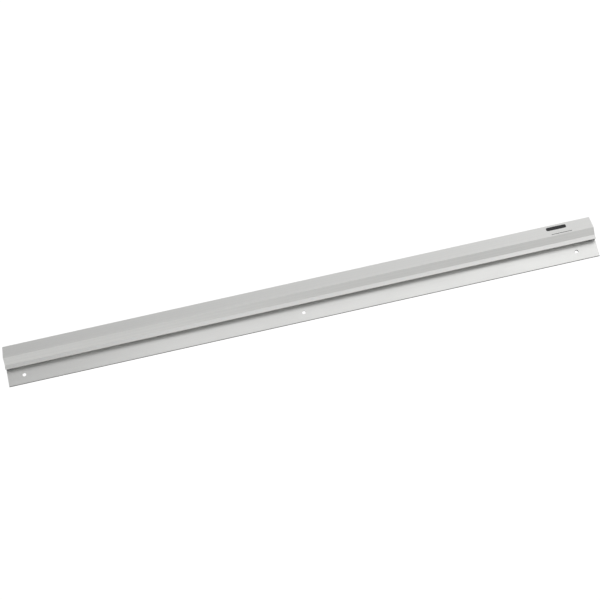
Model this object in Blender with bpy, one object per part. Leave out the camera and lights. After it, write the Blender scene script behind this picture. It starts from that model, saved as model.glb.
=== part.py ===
"""Order-slip rail for a kitchen wall.

One aluminium extrusion has a flat back plate, a screw flange and a hollow hood. Glass marbles
lie loose in the hood, wedged between its sloping front and the back plate. A paper slip pushed
up through the mouth under the hood lifts the marbles, and they drop against it and hold it.
A moulded plug closes each end of the hood.

Frame: X along the rail (+X to the right of someone who faces it), the wall in the plane Y = 0
with the rail in front of it (-Y), +Z up, and the origin in the middle of the back face.
A section is drawn as (depth, drop): depth forward from the wall, drop down from the top edge.
"""
import math

import bmesh
import bpy
from mathutils import Vector

# Extrusion
LENGTH = 0.9144
HEIGHT = 0.0635
PLATE_THICKNESS = 0.0030
HOOD_WALL = 0.0015
CROWN_DEPTH = 0.0066
RIDGE = (0.0192, 0.0222)
WAIST = (0.0116, 0.0321)
LIP = (0.0127, 0.0386)
PLATE_EDGE_RADIUS = 0.0003
CROWN_RADIUS = 0.0009
RIDGE_RADIUS = 0.0006
WAIST_RADIUS = 0.0005
LIP_RADIUS = 0.0004
INNER_RADIUS = 0.0006
WAIST_INNER_RADIUS = 0.0022
ARC_STEP = math.radians(18)

# Screw holes in the flange
HOLE_DIAMETER = 0.0056
HOLE_DROP = 0.0495
LEFT_HOLE_FROM_END = 0.0254
RIGHT_HOLE_FROM_END = 0.0325
HOLE_SIDES = 32

# End plugs
FIT_GAP = 0.0003
PLUG_RECESS = 0.0005
PLUG_LENGTH = 0.0100
PLUG_FACE_THICKNESS = 0.0020
PLUG_WALL = 0.0014
PLUG_BOTTOM_DROP = 0.0372
FLAT_TOP_MIN = 2 * INNER_RADIUS

# Marbles
MARBLE_DIAMETER = 0.0111125
MARBLE_COUNT = 26
MARBLE_SUBDIVISIONS = 3

SMOOTH_ANGLE = math.radians(30)
OVERCUT = 0.0010


def clear_scene():
    for item in list(bpy.data.objects):
        bpy.data.objects.remove(item, do_unlink=True)


def make_material(name, colour, roughness, metallic, transmission=0.0):
    material = bpy.data.materials.new(name)
    material.use_nodes = True
    shader = material.node_tree.nodes["Principled BSDF"]
    shader.inputs["Base Color"].default_value = (*colour, 1.0)
    shader.inputs["Roughness"].default_value = roughness
    shader.inputs["Metallic"].default_value = metallic
    shader.inputs["Transmission Weight"].default_value = transmission
    return material


def add_object(name, mesh, material=None):
    item = bpy.data.objects.new(name, mesh)
    bpy.context.scene.collection.objects.link(item)
    if material and not mesh.materials:
        mesh.materials.append(material)
    return item


def mesh_from_bmesh(name, shape):
    bmesh.ops.recalc_face_normals(shape, faces=shape.faces[:])
    mesh = bpy.data.meshes.new(name)
    shape.to_mesh(mesh)
    shape.free()
    mesh.shade_smooth()
    mesh.set_sharp_from_angle(angle=SMOOTH_ANGLE)
    return mesh


def section_point(x, depth, drop):
    """A point of a section (depth, drop) as a place in the rail's frame."""
    return Vector((x, -depth, HEIGHT / 2 - drop))


def inward_normal(start, end):
    """Unit normal of a hood wall, pointing into the hood, for walls listed from the top down."""
    run = (end - start).normalized()
    return Vector((-run.y, run.x))


def hood_line(inset):
    """The hood's corners from the plate to the lip, moved inward by inset."""
    corners = [Vector((0.0, 0.0)), Vector((CROWN_DEPTH, 0.0)), Vector(RIDGE), Vector(WAIST),
               Vector(LIP)]
    normals = [inward_normal(start, end) for start, end in zip(corners, corners[1:])]
    line = [corners[0] + normals[0] * inset]
    for corner, before, after in zip(corners[1:-1], normals, normals[1:]):
        mitre = (before + after).normalized()
        line.append(corner + mitre * inset / mitre.dot(before))
    line.append(corners[-1] + normals[-1] * inset)
    return line


def rounded_outline(corners):
    """Closed outline of (point, radius) corners, with each corner turned into an arc."""
    outline = []
    for index, (corner, radius) in enumerate(corners):
        to_before = (corners[index - 1][0] - corner).normalized()
        to_after = (corners[(index + 1) % len(corners)][0] - corner).normalized()
        half_angle = to_before.angle(to_after) / 2
        centre = corner + (to_before + to_after).normalized() * radius / math.sin(half_angle)
        start = corner + to_before * radius / math.tan(half_angle) - centre
        end = corner + to_after * radius / math.tan(half_angle) - centre
        start_angle = math.atan2(start.y, start.x)
        sweep = math.remainder(math.atan2(end.y, end.x) - start_angle, math.tau)
        steps = max(1, math.ceil(abs(sweep) / ARC_STEP))
        for step in range(steps + 1):
            angle = start_angle + sweep * step / steps
            outline.append(centre + Vector((math.cos(angle), math.sin(angle))) * radius)
    return outline


def extrude_section(name, outline, x_start, x_end):
    """A closed bar with the given section between two places along the rail."""
    shape = bmesh.new()
    corners = [shape.verts.new(section_point(x_start, *point)) for point in outline]
    cap = shape.faces.new(corners)
    extruded = bmesh.ops.extrude_face_region(shape, geom=[cap], use_keep_orig=True)
    moved = [item for item in extruded["geom"] if isinstance(item, bmesh.types.BMVert)]
    bmesh.ops.translate(shape, verts=moved, vec=(x_end - x_start, 0, 0))
    return mesh_from_bmesh(name, shape)


def cut_away(target, cutter):
    cutter.hide_render = True
    cutter.display_type = "WIRE"
    cut = target.modifiers.new("cut_" + cutter.name, "BOOLEAN")
    cut.operation = "DIFFERENCE"
    cut.solver = "EXACT"
    cut.object = cutter


def extrusion_outline():
    """The whole section: outside of the hood, inside of the hood, then the back plate."""
    outer = hood_line(0.0)
    inner = hood_line(HOOD_WALL)
    inner_top_corner = Vector((PLATE_THICKNESS, inner[0].y))
    outer_radii = (PLATE_EDGE_RADIUS, CROWN_RADIUS, RIDGE_RADIUS, WAIST_RADIUS, LIP_RADIUS)
    inner_radii = (LIP_RADIUS, WAIST_INNER_RADIUS, INNER_RADIUS, INNER_RADIUS, INNER_RADIUS)
    inner_corners = [*reversed(inner[1:]), inner_top_corner]
    plate_bottom = [Vector((PLATE_THICKNESS, HEIGHT)), Vector((0.0, HEIGHT))]
    corners = list(zip(outer, outer_radii)) + list(zip(inner_corners, inner_radii))
    corners += [(corner, PLATE_EDGE_RADIUS) for corner in plate_bottom]
    return rounded_outline(corners)


def hole_centres():
    drop = HOLE_DROP
    left = section_point(-LENGTH / 2 + LEFT_HOLE_FROM_END, 0.0, drop)
    middle = section_point(0.0, 0.0, drop)
    right = section_point(LENGTH / 2 - RIGHT_HOLE_FROM_END, 0.0, drop)
    return {"left": left, "middle": middle, "right": right}


def add_hole_cutter(name, centre):
    """A cylinder across the plate, along Y."""
    shape = bmesh.new()
    bmesh.ops.create_cone(shape, cap_ends=True, segments=HOLE_SIDES, radius1=HOLE_DIAMETER / 2,
                          radius2=HOLE_DIAMETER / 2, depth=PLATE_THICKNESS + 2 * OVERCUT)
    cutter = add_object(name, mesh_from_bmesh(name, shape))
    cutter.location = centre - Vector((0, PLATE_THICKNESS / 2, 0))
    cutter.rotation_euler = (math.pi / 2, 0, 0)
    return cutter


def add_extrusion(material):
    mesh = extrude_section("rail_extrusion", extrusion_outline(), -LENGTH / 2, LENGTH / 2)
    rail = add_object("rail_extrusion", mesh, material)
    for side, centre in hole_centres().items():
        cut_away(rail, add_hole_cutter("hole_cutter_" + side, centre))


def plug_outline(margin):
    """The hood's inside between plate and lip, with margin left free all round.

    The top is flat where there is room for both of its rounded corners, and a point elsewhere.
    """
    crown, ridge, waist, lip = hood_line(HOOD_WALL + margin)[1:]
    back = PLATE_THICKNESS + margin
    bottom = PLUG_BOTTOM_DROP - (margin - FIT_GAP)
    if crown.x - back > FLAT_TOP_MIN:
        top = [Vector((back, crown.y)), crown]
    else:
        top = [crown.lerp(ridge, (back - crown.x) / (ridge.x - crown.x))]
    front_bottom = waist.lerp(lip, (bottom - waist.y) / (lip.y - waist.y))
    corners = [*top, ridge, waist, front_bottom, Vector((back, bottom))]
    return rounded_outline([(corner, INNER_RADIUS) for corner in corners])


def add_end_plug(name, side, material):
    """Cup-shaped plug, closed to the outside; side is -1 for the left end and 1 for the right."""
    face = side * (LENGTH / 2 - PLUG_RECESS)
    inner_end = face - side * PLUG_LENGTH
    plug = add_object(name, extrude_section(name, plug_outline(FIT_GAP), inner_end, face), material)
    pocket_name = name + "_pocket"
    pocket = extrude_section(pocket_name, plug_outline(FIT_GAP + PLUG_WALL),
                             inner_end - side * OVERCUT, face - side * PLUG_FACE_THICKNESS)
    cut_away(plug, add_object(pocket_name, pocket))


def marble_rest_centre():
    """Depth and drop of a marble that rests against the plate and the hood's front wall."""
    radius = MARBLE_DIAMETER / 2
    ridge, waist = Vector(RIDGE), Vector(WAIST)
    normal = inward_normal(ridge, waist)
    depth = PLATE_THICKNESS + FIT_GAP + radius
    wall_distance = HOOD_WALL + FIT_GAP + radius
    drop = ridge.y + (wall_distance - normal.x * (depth - ridge.x)) / normal.y
    return depth, drop


def add_marbles(material):
    """Equal marbles along the hood, which share one mesh and have their origins in their centres."""
    shape = bmesh.new()
    bmesh.ops.create_icosphere(shape, subdivisions=MARBLE_SUBDIVISIONS, radius=MARBLE_DIAMETER / 2)
    mesh = mesh_from_bmesh("marble", shape)
    depth, drop = marble_rest_centre()
    run = LENGTH - 2 * (PLUG_RECESS + PLUG_LENGTH)
    pitch = run / MARBLE_COUNT
    for index in range(MARBLE_COUNT):
        marble = add_object(f"marble_{index + 1:02d}", mesh, material)
        marble.location = section_point(-run / 2 + pitch * (index + 0.5), depth, drop)


def main():
    clear_scene()
    aluminium = make_material("satin_aluminium", (0.72, 0.72, 0.72), 0.35, 1.0)
    plastic = make_material("plug_plastic", (0.12, 0.123, 0.127), 0.5, 0.0)
    glass = make_material("marble_glass", (0.62, 0.78, 0.72), 0.03, 0.0, transmission=0.9)
    add_extrusion(aluminium)
    add_end_plug("end_plug_left", -1, plastic)
    add_end_plug("end_plug_right", 1, plastic)
    add_marbles(glass)


main()
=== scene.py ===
import math
import random

import bmesh
import bpy
from mathutils import Euler, Matrix, Vector


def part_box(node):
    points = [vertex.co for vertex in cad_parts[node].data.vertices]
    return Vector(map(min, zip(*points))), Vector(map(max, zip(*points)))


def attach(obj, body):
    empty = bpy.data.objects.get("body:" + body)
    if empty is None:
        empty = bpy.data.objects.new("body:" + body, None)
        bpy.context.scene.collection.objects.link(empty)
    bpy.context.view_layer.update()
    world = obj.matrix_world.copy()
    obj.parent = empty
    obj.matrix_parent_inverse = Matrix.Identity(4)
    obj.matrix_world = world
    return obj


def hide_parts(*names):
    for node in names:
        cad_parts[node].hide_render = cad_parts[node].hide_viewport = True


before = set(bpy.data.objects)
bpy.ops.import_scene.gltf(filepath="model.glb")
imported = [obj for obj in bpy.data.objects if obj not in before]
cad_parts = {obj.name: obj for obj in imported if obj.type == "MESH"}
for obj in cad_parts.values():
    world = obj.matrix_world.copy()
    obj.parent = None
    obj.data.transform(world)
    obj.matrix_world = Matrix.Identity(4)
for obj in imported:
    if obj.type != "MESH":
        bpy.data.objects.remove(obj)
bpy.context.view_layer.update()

# ---------------------------------------------------------------- driving dimensions, metres
# A section is drawn as (depth, drop): depth forward from the wall, drop down from the top edge.

RAIL_LOW, RAIL_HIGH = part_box("rail_extrusion")
LENGTH = RAIL_HIGH.x - RAIL_LOW.x
HEIGHT = RAIL_HIGH.z - RAIL_LOW.z
PLATE_THICKNESS = 0.0030
HOOD_WALL = 0.0015
CROWN_DEPTH = 0.0066
RIDGE = (0.0192, 0.0222)
WAIST = (0.0116, 0.0321)
LIP = (0.0127, 0.0386)
PLATE_EDGE_RADIUS = 0.0003
CROWN_RADIUS = 0.0009
RIDGE_RADIUS = 0.0006
WAIST_RADIUS = 0.0005
LIP_RADIUS = 0.0004
INNER_RADIUS = 0.0006
WAIST_INNER_RADIUS = 0.0022
ARC_STEP = math.radians(6)
SAW_BURR = 0.00012

# Heights above the plate's bottom edge where its painted shade begins, and where it is fully dark
PAINTED_SHADE_EDGE_START, PAINTED_SHADE_EDGE_FULL = 0.0003, 0.0001

HOLE_DIAMETER = 0.0056
HOLE_DROP = 0.0495
HOLE_PLACES = (-LENGTH / 2 + 0.0254, 0.0, LENGTH / 2 - 0.0325)
HOLE_CHAMFER = 0.0002
HOLE_SIDES = 64
CUT_FINISH, PAINTED_SHADE_FINISH = 1, 2
# The right hole's bore gets the painted shade finish: its wall is painted dark.
BORE_FINISHES = (CUT_FINISH, CUT_FINISH, PAINTED_SHADE_FINISH)

FIT_GAP = 0.0003
PLUG_RECESS = 0.0005
PLUG_LENGTH = 0.0100
PLUG_BOTTOM_DROP = 0.0372
PLUG_WALL = 0.0014
PLUG_FACE_THICKNESS = 0.0020
FLAT_TOP_MIN = 2 * INNER_RADIUS

SMOOTH_ANGLE = math.radians(30)


# ---------------------------------------------------------------- sections

def section_point(x, depth, drop):
    """A point of a section as a place in the rail's frame."""
    return Vector((x, -depth, HEIGHT / 2 - drop))


def inward_normal(start, end):
    """Unit normal of a hood wall, pointing into the hood, for walls listed from the top down."""
    run = (end - start).normalized()
    return Vector((-run.y, run.x))


def hood_line(inset):
    """The hood's corners from the plate to the lip, moved inward by inset."""
    corners = [Vector((0.0, 0.0)), Vector((CROWN_DEPTH, 0.0)), Vector(RIDGE), Vector(WAIST),
               Vector(LIP)]
    normals = [inward_normal(start, end) for start, end in zip(corners, corners[1:])]
    line = [corners[0] + normals[0] * inset]
    for corner, before, after in zip(corners[1:-1], normals, normals[1:]):
        mitre = (before + after).normalized()
        line.append(corner + mitre * inset / mitre.dot(before))
    line.append(corners[-1] + normals[-1] * inset)
    return line


def rounded_outline(corners):
    """Closed outline of (point, radius) corners, with each corner turned into an arc."""
    outline = []
    for index, (corner, radius) in enumerate(corners):
        to_before = (corners[index - 1][0] - corner).normalized()
        to_after = (corners[(index + 1) % len(corners)][0] - corner).normalized()
        half_angle = to_before.angle(to_after) / 2
        centre = corner + (to_before + to_after).normalized() * radius / math.sin(half_angle)
        start = corner + to_before * radius / math.tan(half_angle) - centre
        end = corner + to_after * radius / math.tan(half_angle) - centre
        start_angle = math.atan2(start.y, start.x)
        sweep = math.remainder(math.atan2(end.y, end.x) - start_angle, math.tau)
        steps = max(1, math.ceil(abs(sweep) / ARC_STEP))
        for step in range(steps + 1):
            angle = start_angle + sweep * step / steps
            outline.append(centre + Vector((math.cos(angle), math.sin(angle))) * radius)
    return outline


def extrusion_outline():
    """The whole section: outside of the hood, inside of the hood, then the back plate."""
    outer = hood_line(0.0)
    inner = hood_line(HOOD_WALL)
    inner_top_corner = Vector((PLATE_THICKNESS, inner[0].y))
    outer_radii = (PLATE_EDGE_RADIUS, CROWN_RADIUS, RIDGE_RADIUS, WAIST_RADIUS, LIP_RADIUS)
    inner_radii = (LIP_RADIUS, WAIST_INNER_RADIUS, INNER_RADIUS, INNER_RADIUS, INNER_RADIUS)
    inner_corners = [*reversed(inner[1:]), inner_top_corner]
    plate_bottom = [Vector((PLATE_THICKNESS, HEIGHT)), Vector((0.0, HEIGHT))]
    corners = list(zip(outer, outer_radii)) + list(zip(inner_corners, inner_radii))
    corners += [(corner, PLATE_EDGE_RADIUS) for corner in plate_bottom]
    return rounded_outline(corners)


def inset_outline(outline, distance):
    """The outline moved inward by distance, point by point."""
    moved = []
    for index, point in enumerate(outline):
        before = (point - outline[index - 1]).normalized()
        after = (outline[(index + 1) % len(outline)] - point).normalized()
        mitre = (before + after).normalized()
        inward = Vector((-mitre.y, mitre.x))
        moved.append(point + inward * distance / mitre.dot(before))
    return moved


# ---------------------------------------------------------------- meshes

def loft(shape, rings):
    """A closed skin through rings of equally many points; returns its two end faces."""
    loops = [[shape.verts.new(point) for point in ring] for ring in rings]
    count = len(loops[0])
    for near, far in zip(loops, loops[1:]):
        for index in range(count):
            following = (index + 1) % count
            shape.faces.new((near[index], near[following], far[following], far[index]))
    return shape.faces.new(loops[0]), shape.faces.new(loops[-1])


def mesh_from_bmesh(name, shape, smooth_angle=SMOOTH_ANGLE):
    bmesh.ops.recalc_face_normals(shape, faces=shape.faces[:])
    mesh = bpy.data.meshes.new(name)
    shape.to_mesh(mesh)
    shape.free()
    mesh.shade_smooth()
    mesh.set_sharp_from_angle(angle=smooth_angle)
    return mesh


def add_object(name, mesh, *materials):
    item = bpy.data.objects.new(name, mesh)
    bpy.context.scene.collection.objects.link(item)
    if not mesh.materials:
        for material in materials:
            mesh.materials.append(material)
    return item


def weight_normals(item):
    """Flat faces keep their own normals where a rounded corner runs into them."""
    weighting = item.modifiers.new("flat_faces", "WEIGHTED_NORMAL")
    weighting.mode = "FACE_AREA"
    weighting.weight = 100
    weighting.keep_sharp = True


# ---------------------------------------------------------------- materials

class NodeMaterial:
    """A Principled material with short helpers for its procedural nodes."""

    def __init__(self, name, constants):
        self.material = bpy.data.materials.new(name)
        self.material.use_nodes = True
        self.nodes = self.material.node_tree.nodes
        self.links = self.material.node_tree.links
        self.shader = self.nodes["Principled BSDF"]
        self.places = self.nodes.new("ShaderNodeTexCoord").outputs["Object"]
        for label, value in constants.items():
            self.shader.inputs[label].default_value = value

    def plug(self, source, target):
        self.links.new(source, target)

    def stretched(self, scale):
        """Object coordinates in metres times scale, which may differ along X, Y and Z."""
        mapping = self.nodes.new("ShaderNodeMapping")
        mapping.inputs["Scale"].default_value = scale
        self.plug(self.places, mapping.inputs["Vector"])
        return mapping.outputs["Vector"]

    def noise(self, scale, detail=2.0, roughness=0.5):
        texture = self.nodes.new("ShaderNodeTexNoise")
        texture.inputs["Scale"].default_value = 1.0
        texture.inputs["Detail"].default_value = detail
        texture.inputs["Roughness"].default_value = roughness
        self.plug(self.stretched(scale), texture.inputs["Vector"])
        return texture.outputs["Fac"]

    def spread(self, value, low, high, to_low=0.0, to_high=1.0):
        """Value mapped smoothly from low..high to to_low..to_high."""
        mapped = self.nodes.new("ShaderNodeMapRange")
        mapped.interpolation_type = "SMOOTHSTEP"
        for label, number in (("From Min", low), ("From Max", high), ("To Min", to_low),
                              ("To Max", to_high)):
            mapped.inputs[label].default_value = number
        self.plug(value, mapped.inputs["Value"])
        return mapped.outputs["Result"]

    def combine(self, operation, first, second):
        joined = self.nodes.new("ShaderNodeMath")
        joined.operation = operation
        for socket, value in zip(joined.inputs, (first, second)):
            if isinstance(value, (int, float)):
                socket.default_value = value
            else:
                self.plug(value, socket)
        return joined.outputs["Value"]

    def blend_colour(self, factor, first, second):
        """Colour first where factor is 0 and second where it is 1; either may be a socket."""
        mixed = self.nodes.new("ShaderNodeMix")
        mixed.data_type = "RGBA"
        self.plug(factor, mixed.inputs["Factor"])
        for socket, value in ((mixed.inputs[6], first), (mixed.inputs[7], second)):
            if isinstance(value, tuple):
                socket.default_value = (*value, 1.0)
            else:
                self.plug(value, socket)
        return mixed.outputs[2]

    def bump(self, height, distance, strength=1.0, under=None):
        relief = self.nodes.new("ShaderNodeBump")
        relief.inputs["Strength"].default_value = strength
        relief.inputs["Distance"].default_value = distance
        self.plug(height, relief.inputs["Height"])
        if under:
            self.plug(under, relief.inputs["Normal"])
        return relief.outputs["Normal"]


def satin_aluminium():
    """Clear-anodised extrusion: die lines along X, faint cloudiness and a few handling scuffs.

    The plate's bottom edge is painted dark: painted shade along the edge that faces down.
    """
    finish = NodeMaterial("satin_aluminium", {"Metallic": 1.0})
    lines = finish.noise((0.2, 2600.0, 2600.0), detail=3.0, roughness=0.6)
    bands = finish.noise((0.08, 300.0, 300.0), detail=3.0)
    clouds = finish.noise((7.0, 26.0, 26.0), detail=3.0)
    scuffs = finish.spread(finish.noise((60.0, 700.0, 420.0), detail=4.0), 0.66, 0.74)
    tone = finish.combine("ADD", finish.combine("MULTIPLY", lines, 0.6),
                          finish.combine("MULTIPLY", bands, 0.4))
    colour = finish.blend_colour(finish.spread(tone, 0.3, 0.7), (0.825, 0.828, 0.816),
                                 (0.895, 0.896, 0.880))
    colour = finish.blend_colour(finish.spread(clouds, 0.3, 0.75, 0.0, 0.3), colour,
                                 (0.85, 0.845, 0.835))
    colour = finish.blend_colour(finish.combine("MULTIPLY", scuffs, 0.25), colour,
                                 (0.93, 0.93, 0.93))
    split = finish.nodes.new("ShaderNodeSeparateXYZ")
    finish.plug(finish.places, split.inputs[0])
    bottom = finish.spread(split.outputs["Z"], PAINTED_SHADE_EDGE_START - HEIGHT / 2,
                           PAINTED_SHADE_EDGE_FULL - HEIGHT / 2)
    # Painted shade: the plate's bottom edge is blended to near-black.
    finish.plug(finish.blend_colour(bottom, colour, (0.21, 0.208, 0.205)),
                finish.shader.inputs["Base Color"])
    grain = finish.combine("ADD", finish.spread(lines, 0.3, 0.7, 0.33, 0.43),
                           finish.spread(clouds, 0.3, 0.7, -0.02, 0.03))
    finish.plug(finish.combine("ADD", grain, finish.combine("MULTIPLY", scuffs, 0.08)),
                finish.shader.inputs["Roughness"])
    relief = finish.bump(lines, 0.000012)
    finish.plug(finish.bump(scuffs, 0.000006, under=relief), finish.shader.inputs["Normal"])
    return finish.material


def cut_aluminium():
    """Bare sawn or drilled metal: brighter, with fine blade marks."""
    finish = NodeMaterial("cut_aluminium", {"Metallic": 1.0})
    marks = finish.noise((40.0, 900.0, 5200.0), detail=2.0)
    patches = finish.noise((300.0, 300.0, 300.0), detail=2.0)
    finish.plug(finish.blend_colour(finish.spread(marks, 0.3, 0.7), (0.80, 0.80, 0.80),
                                    (0.91, 0.91, 0.905)), finish.shader.inputs["Base Color"])
    finish.plug(finish.spread(patches, 0.3, 0.7, 0.30, 0.46), finish.shader.inputs["Roughness"])
    finish.plug(finish.bump(marks, 0.00002), finish.shader.inputs["Normal"])
    return finish.material


def painted_shade_bore():
    """Drilled metal painted near-black: painted shade on a bore wall, with rough dull patches."""
    finish = NodeMaterial("painted_shade_bore", {"Specular IOR Level": 0.2})
    shade_mottle = finish.noise((700.0, 700.0, 700.0), detail=3.0)
    finish.plug(finish.blend_colour(finish.spread(shade_mottle, 0.3, 0.7), (0.10, 0.098, 0.095),
                                    (0.20, 0.197, 0.19)), finish.shader.inputs["Base Color"])
    finish.plug(finish.spread(shade_mottle, 0.3, 0.7, 0.55, 0.8), finish.shader.inputs["Roughness"])
    finish.plug(finish.bump(shade_mottle, 0.00002), finish.shader.inputs["Normal"])
    return finish.material


def plug_plastic():
    """Dark grey moulded plastic with a fine spark-eroded grain."""
    finish = NodeMaterial("plug_plastic", {"Specular IOR Level": 0.45})
    grain = finish.noise((9000.0, 9000.0, 9000.0), detail=3.0)
    flow = finish.noise((160.0, 120.0, 90.0), detail=2.0)
    finish.plug(finish.blend_colour(finish.spread(flow, 0.3, 0.7), (0.105, 0.108, 0.112),
                                    (0.135, 0.138, 0.142)), finish.shader.inputs["Base Color"])
    finish.plug(finish.spread(grain, 0.3, 0.7, 0.42, 0.58), finish.shader.inputs["Roughness"])
    finish.plug(finish.bump(grain, 0.00003), finish.shader.inputs["Normal"])
    return finish.material


def marble_glass():
    """Clear bottle-green glass, faintly rippled by its rollers."""
    finish = NodeMaterial("marble_glass", {"Transmission Weight": 1.0, "IOR": 1.51})
    ripple = finish.noise((90.0, 90.0, 260.0), detail=2.0)
    cords = finish.noise((220.0, 220.0, 60.0), detail=3.0)
    finish.plug(finish.blend_colour(finish.spread(cords, 0.35, 0.65), (0.80, 0.93, 0.88),
                                    (0.88, 0.97, 0.94)), finish.shader.inputs["Base Color"])
    finish.plug(finish.spread(ripple, 0.35, 0.7, 0.01, 0.05), finish.shader.inputs["Roughness"])
    finish.plug(finish.bump(ripple, 0.00002), finish.shader.inputs["Normal"])
    return finish.material


def vane_glass():
    """The coloured opaque glass twisted into the middle of a marble."""
    finish = NodeMaterial("vane_glass", {"Roughness": 0.25})
    streaks = finish.noise((500.0, 500.0, 90.0), detail=3.0)
    finish.plug(finish.blend_colour(finish.spread(streaks, 0.3, 0.7), (0.86, 0.88, 0.84),
                                    (0.10, 0.36, 0.42)), finish.shader.inputs["Base Color"])
    return finish.material


def printing_ink():
    """Pad-printed black ink, slightly thin in places."""
    finish = NodeMaterial("printing_ink", {"Specular IOR Level": 0.4})
    thin = finish.noise((1500.0, 2600.0, 2600.0), detail=3.0)
    finish.plug(finish.blend_colour(finish.spread(thin, 0.45, 0.8), (0.012, 0.012, 0.014),
                                    (0.085, 0.085, 0.09)), finish.shader.inputs["Base Color"])
    finish.plug(finish.spread(thin, 0.3, 0.7, 0.38, 0.55), finish.shader.inputs["Roughness"])
    finish.plug(finish.bump(thin, 0.00001), finish.shader.inputs["Normal"])
    return finish.material


def pale_floor_finish():
    finish = NodeMaterial("pale_floor", {})
    mottle = finish.noise((3.0, 3.0, 3.0), detail=3.0)
    finish.plug(finish.blend_colour(mottle, (0.67, 0.67, 0.665), (0.71, 0.71, 0.705)),
                finish.shader.inputs["Base Color"])
    finish.plug(finish.spread(mottle, 0.2, 0.8, 0.55, 0.75), finish.shader.inputs["Roughness"])
    return finish.material


# ---------------------------------------------------------------- the extrusion

def hole_cutter(name, x, materials, finish):
    """A turned cutter across the plate, which also chamfers both rims; finish is a slot."""
    radius = HOLE_DIAMETER / 2
    wide = radius + HOLE_CHAMFER
    profile = ((-HOLE_CHAMFER, wide + HOLE_CHAMFER), (HOLE_CHAMFER, radius),
               (PLATE_THICKNESS - HOLE_CHAMFER, radius),
               (PLATE_THICKNESS + HOLE_CHAMFER, wide + HOLE_CHAMFER))
    centre = section_point(x, 0.0, HOLE_DROP)
    rings = []
    for depth, reach in profile:
        turns = [math.tau * step / HOLE_SIDES for step in range(HOLE_SIDES)]
        rings.append([centre + Vector((reach * math.cos(turn), -depth, reach * math.sin(turn)))
                      for turn in turns])
    shape = bmesh.new()
    loft(shape, rings)
    for face in shape.faces:
        face.material_index = finish
    return add_object(name, mesh_from_bmesh(name, shape), *materials)


def cut_away(target, cutter):
    cut = target.modifiers.new(cutter.name, "BOOLEAN")
    cut.operation = "DIFFERENCE"
    cut.solver = "EXACT"
    cut.object = cutter


def bake_modifiers(item, cutters):
    """Replaces the object's mesh by its cut one, and removes the cutters."""
    evaluated = item.evaluated_get(bpy.context.evaluated_depsgraph_get())
    mesh = bpy.data.meshes.new_from_object(evaluated)
    item.modifiers.clear()
    item.data = mesh
    for cutter in cutters:
        bpy.data.objects.remove(cutter)
    item.data.set_sharp_from_angle(angle=SMOOTH_ANGLE)
    weight_normals(item)


def build_rail(*materials):
    outline = extrusion_outline()
    edge = inset_outline(outline, SAW_BURR)
    half = LENGTH / 2
    stations = ((-half, edge), (-half + SAW_BURR, outline), (half - SAW_BURR, outline),
                (half, edge))
    shape = bmesh.new()
    ends = loft(shape, [[section_point(x, *point) for point in ring] for x, ring in stations])
    for face in ends:
        face.material_index = CUT_FINISH
    rail = add_object("rail_body", mesh_from_bmesh("rail_body", shape), *materials)
    cutters = []
    for index, (x, finish) in enumerate(zip(HOLE_PLACES, BORE_FINISHES)):
        cutter = hole_cutter(f"hole_cutter_{index}", x, materials, finish)
        cut_away(rail, cutter)
        cutters.append(cutter)
    bake_modifiers(rail, cutters)
    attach(rail, "rail")
    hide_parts("rail_extrusion")


# ---------------------------------------------------------------- the end plugs

PANEL_MARGIN = 0.0012
PANEL_DEPTH = 0.0005
PANEL_DRAFT = 0.0003
LEAD_IN = 0.0012
PLUG_FACE_BREAK = 0.00012
PLUG_TIP_TAPER = 0.0002
OVERCUT = 0.0010


def plug_outline(margin):
    """The hood's inside between plate and lip, with margin left free all round.

    The top is flat where there is room for both of its rounded corners, and a point elsewhere.
    """
    crown, ridge, waist, lip = hood_line(HOOD_WALL + margin)[1:]
    back = PLATE_THICKNESS + margin
    bottom = PLUG_BOTTOM_DROP - (margin - FIT_GAP)
    if crown.x - back > FLAT_TOP_MIN:
        top = [Vector((back, crown.y)), crown]
    else:
        top = [crown.lerp(ridge, (back - crown.x) / (ridge.x - crown.x))]
    front_bottom = waist.lerp(lip, (bottom - waist.y) / (lip.y - waist.y))
    corners = [*top, ridge, waist, front_bottom, Vector((back, bottom))]
    return rounded_outline([(corner, INNER_RADIUS) for corner in corners])


def lofted_bar(name, stations):
    """A closed bar through (x, outline) stations."""
    shape = bmesh.new()
    loft(shape, [[section_point(x, *point) for point in outline] for x, outline in stations])
    return mesh_from_bmesh(name, shape)


def build_plug(name, side, plastic):
    """Cup-shaped plug: a sunk panel outside, a tapered lead-in and a pocket inside."""
    face = side * (LENGTH / 2 - PLUG_RECESS)
    body = plug_outline(FIT_GAP)
    edge = inset_outline(body, PLUG_FACE_BREAK)
    tip = inset_outline(body, PLUG_TIP_TAPER)
    stations = ((0.0, edge), (PLUG_FACE_BREAK, body), (PLUG_LENGTH - LEAD_IN, body),
                (PLUG_LENGTH, tip))
    plug = add_object(name, lofted_bar(name, [(face - side * inward, outline)
                                              for inward, outline in stations]), plastic)
    pocket = plug_outline(FIT_GAP + PLUG_WALL)
    panel_wide = plug_outline(FIT_GAP + PANEL_MARGIN)
    panel_deep = plug_outline(FIT_GAP + PANEL_MARGIN + PANEL_DRAFT)
    cutters = []
    pocket_ends = ((PLUG_LENGTH + OVERCUT, pocket), (PLUG_FACE_THICKNESS, pocket))
    panel_ends = ((-PANEL_DRAFT, panel_wide), (PANEL_DEPTH, panel_deep))
    for label, ends in (("pocket", pocket_ends), ("panel", panel_ends)):
        mesh = lofted_bar(label, [(face - side * inward, outline) for inward, outline in ends])
        cutter = add_object(f"{name}_{label}", mesh, plastic)
        cut_away(plug, cutter)
        cutters.append(cutter)
    bake_modifiers(plug, cutters)
    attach(plug, "rail")
    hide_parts("end_" + name)


# ---------------------------------------------------------------- marbles

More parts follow.
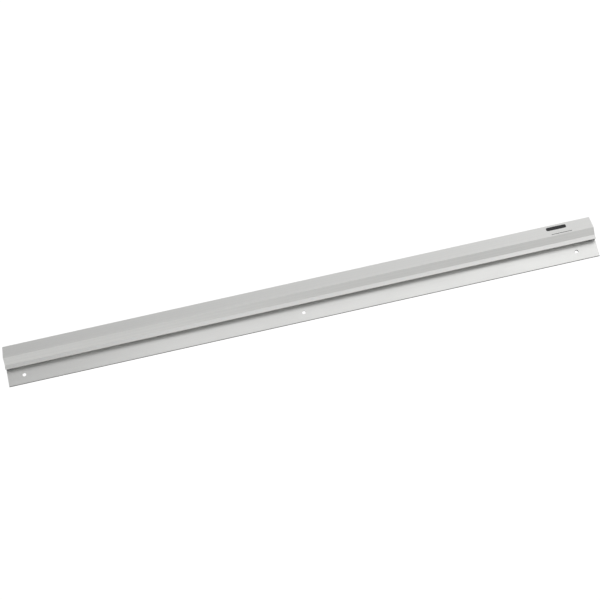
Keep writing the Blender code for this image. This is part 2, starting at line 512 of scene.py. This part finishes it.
# The vane's reach, height and core are fractions of the marble's radius.
MARBLE_SUBDIVISIONS = 4
VANE_RINGS = 16
VANE_SIDES = 48
VANE_BLADES = 3
VANE_TWIST = math.radians(150)
VANE_REACH = 0.62
VANE_HALF_HEIGHT = 0.74
VANE_CORE = 0.10
VANE_BLADE_SHARPNESS = 5
VANE_SMOOTH_ANGLE = math.radians(60)
MARBLE_TURN_SEED = 7


def marble_mesh(radius):
    shape = bmesh.new()
    bmesh.ops.create_icosphere(shape, subdivisions=MARBLE_SUBDIVISIONS, radius=radius)
    return mesh_from_bmesh("marble_glass_body", shape, smooth_angle=math.pi)


def vane_mesh(radius):
    """A three-bladed twisted vane, closed at both tips."""
    shape = bmesh.new()
    rings = []
    for ring in range(1, VANE_RINGS):
        along = -1 + 2 * ring / VANE_RINGS
        swell = radius * VANE_REACH * math.sqrt(1 - along * along)
        points = []
        for step in range(VANE_SIDES):
            turn = math.tau * step / VANE_SIDES
            blade = abs(math.cos(turn * VANE_BLADES / 2)) ** VANE_BLADE_SHARPNESS
            reach = swell * (VANE_CORE + (1 - VANE_CORE) * blade)
            angle = turn + VANE_TWIST * along / 2
            points.append(Vector((reach * math.cos(angle), reach * math.sin(angle),
                                  radius * VANE_HALF_HEIGHT * along)))
        rings.append(points)
    loft(shape, rings)
    return mesh_from_bmesh("marble_vane", shape, smooth_angle=VANE_SMOOTH_ANGLE)


def build_marbles(glass, coloured):
    low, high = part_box("marble_01")
    radius = (high.z - low.z) / 2
    dice = random.Random(MARBLE_TURN_SEED)
    for name in sorted(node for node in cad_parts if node.startswith("marble_")):
        low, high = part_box(name)
        turn = Euler([dice.uniform(0, math.tau) for _ in range(3)]).to_matrix().to_4x4()
        for make, label, material in ((marble_mesh, "glass", glass), (vane_mesh, "vane", coloured)):
            mesh = make(radius)
            mesh.transform(turn)
            piece = add_object(f"{name}_{label}", mesh, material)
            piece.location = (low + high) / 2
            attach(piece, name)
            if make is marble_mesh:
                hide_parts(name)


# ---------------------------------------------------------------- printed mark

# The corner radius of a patch is a fraction of its height.
MARK_FROM_RIGHT_END = 0.0540
BAR_SIZE, BAR_DOWN_FACET = (0.0310, 0.0080), 0.0085
RULE_SIZE, RULE_DOWN_FACET = (0.0320, 0.0011), 0.0222
RULE_SHIFT = 0.0055
MARK_CORNER = 0.35
MARK_PROUD = 0.00003


def build_mark(name, x, down_facet, size, ink):
    """A thin rounded patch of ink on the hood's upper facet, centred down_facet below the crown."""
    crown, ridge = Vector((CROWN_DEPTH, 0.0)), Vector(RIDGE)
    run = (ridge - crown).normalized()
    outward = -inward_normal(crown, ridge)
    width, height = size
    centre = crown + run * down_facet
    half = (width / 2, height / 2)
    corners = [Vector((sx * half[0], sy * half[1])) for sx, sy in
               ((-1, -1), (1, -1), (1, 1), (-1, 1))]
    outline = rounded_outline([(corner, height * MARK_CORNER) for corner in corners])
    rings = []
    for lift in (-MARK_PROUD, MARK_PROUD):
        ring = []
        for point in outline:
            place = centre + run * point.y + outward * lift
            ring.append(section_point(x + point.x, place.x, place.y))
        rings.append(ring)
    shape = bmesh.new()
    loft(shape, rings)
    mark = add_object(name, mesh_from_bmesh(name, shape), ink)
    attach(mark, "rail")


# ---------------------------------------------------------------- stage, light and camera

FLOOR_DROP = 3.0
FLOOR_RADIUS = 9.0
FLOOR_SIDES = 96

# Brightness of the studio by direction, and where along X, Y and Z one level turns into the next
FRONT_LEFT, FRONT_RIGHT = 0.222, 1.03
BEHIND, BEHIND_BELOW = 1.05, 0.6
LEFT_TO_RIGHT = (-0.6, 0.6)
FRONT_TO_BEHIND = (0.0, 0.6)
BELOW_TO_LEVEL = (-0.1, 0.12)

# Name, place, size and power of each light
SOFT_LIGHTS = (
    ("front_high", (0.8, -3.0, 1.3), (1.6, 1.2), 3.0),
    ("low_left", (-2.4, -1.6, -1.6), (1.4, 1.2), 11.8),
    ("low_right", (2.4, -1.6, -1.6), (1.4, 1.2), 7.3),
    ("low_near", (-0.3, -0.8, -1.2), (0.4, 0.4), 0.15),
    ("front_near", (-0.2, -0.9, 0.45), (0.3, 0.3), 0.13),
)


def build_floor():
    shape = bmesh.new()
    bmesh.ops.create_circle(shape, cap_ends=True, segments=FLOOR_SIDES, radius=FLOOR_RADIUS)
    floor = add_object("floor", mesh_from_bmesh("floor", shape), pale_floor_finish())
    floor.location = (0, 0, -FLOOR_DROP)


def build_world():
    """White behind the rail, greyer below it; in front a soft gradient, brighter to the right."""
    world = bpy.data.worlds.new("studio")
    bpy.context.scene.world = world
    world.use_nodes = True
    nodes, links = world.node_tree.nodes, world.node_tree.links
    direction = nodes.new("ShaderNodeTexCoord").outputs["Generated"]
    split = nodes.new("ShaderNodeSeparateXYZ")
    links.new(direction, split.inputs[0])

    def ramp(axis, from_range, to_range):
        """Smooth step of one direction component; either end may be another ramp."""
        step = nodes.new("ShaderNodeMapRange")
        step.interpolation_type = "SMOOTHSTEP"
        step.inputs["From Min"].default_value, step.inputs["From Max"].default_value = from_range
        for label, value in zip(("To Min", "To Max"), to_range):
            if isinstance(value, float):
                step.inputs[label].default_value = value
            else:
                links.new(value, step.inputs[label])
        links.new(split.outputs[axis], step.inputs["Value"])
        return step.outputs["Result"]

    front = ramp("X", LEFT_TO_RIGHT, (FRONT_LEFT, FRONT_RIGHT))
    behind = ramp("Z", BELOW_TO_LEVEL, (BEHIND_BELOW, BEHIND))
    background = nodes["Background"]
    background.inputs["Color"].default_value = (1, 1, 1, 1)
    links.new(ramp("Y", FRONT_TO_BEHIND, (front, behind)), background.inputs["Strength"])


def add_soft_light(name, place, size, power):
    """A rectangle of light aimed at the middle of the rail, out of the camera's sight."""
    light = bpy.data.lights.new(name, "AREA")
    light.shape = "RECTANGLE"
    light.size, light.size_y = size
    light.energy = power
    item = bpy.data.objects.new(name, light)
    bpy.context.scene.collection.objects.link(item)
    item.location = place
    item.rotation_euler = (-Vector(place)).to_track_quat("-Z", "Y").to_euler()
    item.visible_camera = False


CAMERA_AZIMUTH = math.radians(-1.65)
CAMERA_ELEVATION = math.radians(-19.32)
CAMERA_ROLL = math.radians(13.08)
CAMERA_DISTANCE = 2.7318
CAMERA_LENS = 107.94
CAMERA_SENSOR = 36.0
AIM_RIGHT, AIM_UP = -0.00216, 0.00333


def build_camera():
    azimuth, elevation = CAMERA_AZIMUTH, CAMERA_ELEVATION
    back = Vector((math.sin(azimuth) * math.cos(elevation),
                   -math.cos(azimuth) * math.cos(elevation), math.sin(elevation)))
    level_right = (-back).cross(Vector((0, 0, 1))).normalized()
    level_up = level_right.cross(-back)
    right = level_right * math.cos(CAMERA_ROLL) - level_up * math.sin(CAMERA_ROLL)
    up = level_right * math.sin(CAMERA_ROLL) + level_up * math.cos(CAMERA_ROLL)
    place = back * CAMERA_DISTANCE
    sight = (place - right * AIM_RIGHT - up * AIM_UP).normalized()
    right = up.cross(sight).normalized()
    up = sight.cross(right)
    data = bpy.data.cameras.new("camera")
    data.sensor_width = CAMERA_SENSOR
    data.lens = CAMERA_LENS
    camera = bpy.data.objects.new("camera", data)
    bpy.context.scene.collection.objects.link(camera)
    axes = Matrix((right, up, sight)).transposed()
    camera.matrix_world = Matrix.Translation(place) @ axes.to_4x4()
    bpy.context.scene.camera = camera


# ---------------------------------------------------------------- assembly

def main():
    build_rail(satin_aluminium(), cut_aluminium(), painted_shade_bore())
    plastic = plug_plastic()
    build_plug("plug_left", -1, plastic)
    build_plug("plug_right", 1, plastic)
    build_marbles(marble_glass(), vane_glass())
    ink = printing_ink()
    mark_x = LENGTH / 2 - MARK_FROM_RIGHT_END
    build_mark("mark_bar", mark_x, BAR_DOWN_FACET, BAR_SIZE, ink)
    build_mark("mark_rule", mark_x + RULE_SHIFT, RULE_DOWN_FACET, RULE_SIZE, ink)
    build_floor()
    build_world()
    for light in SOFT_LIGHTS:
        add_soft_light(*light)
    build_camera()
    bpy.context.scene.view_settings.view_transform = "Standard"


main()
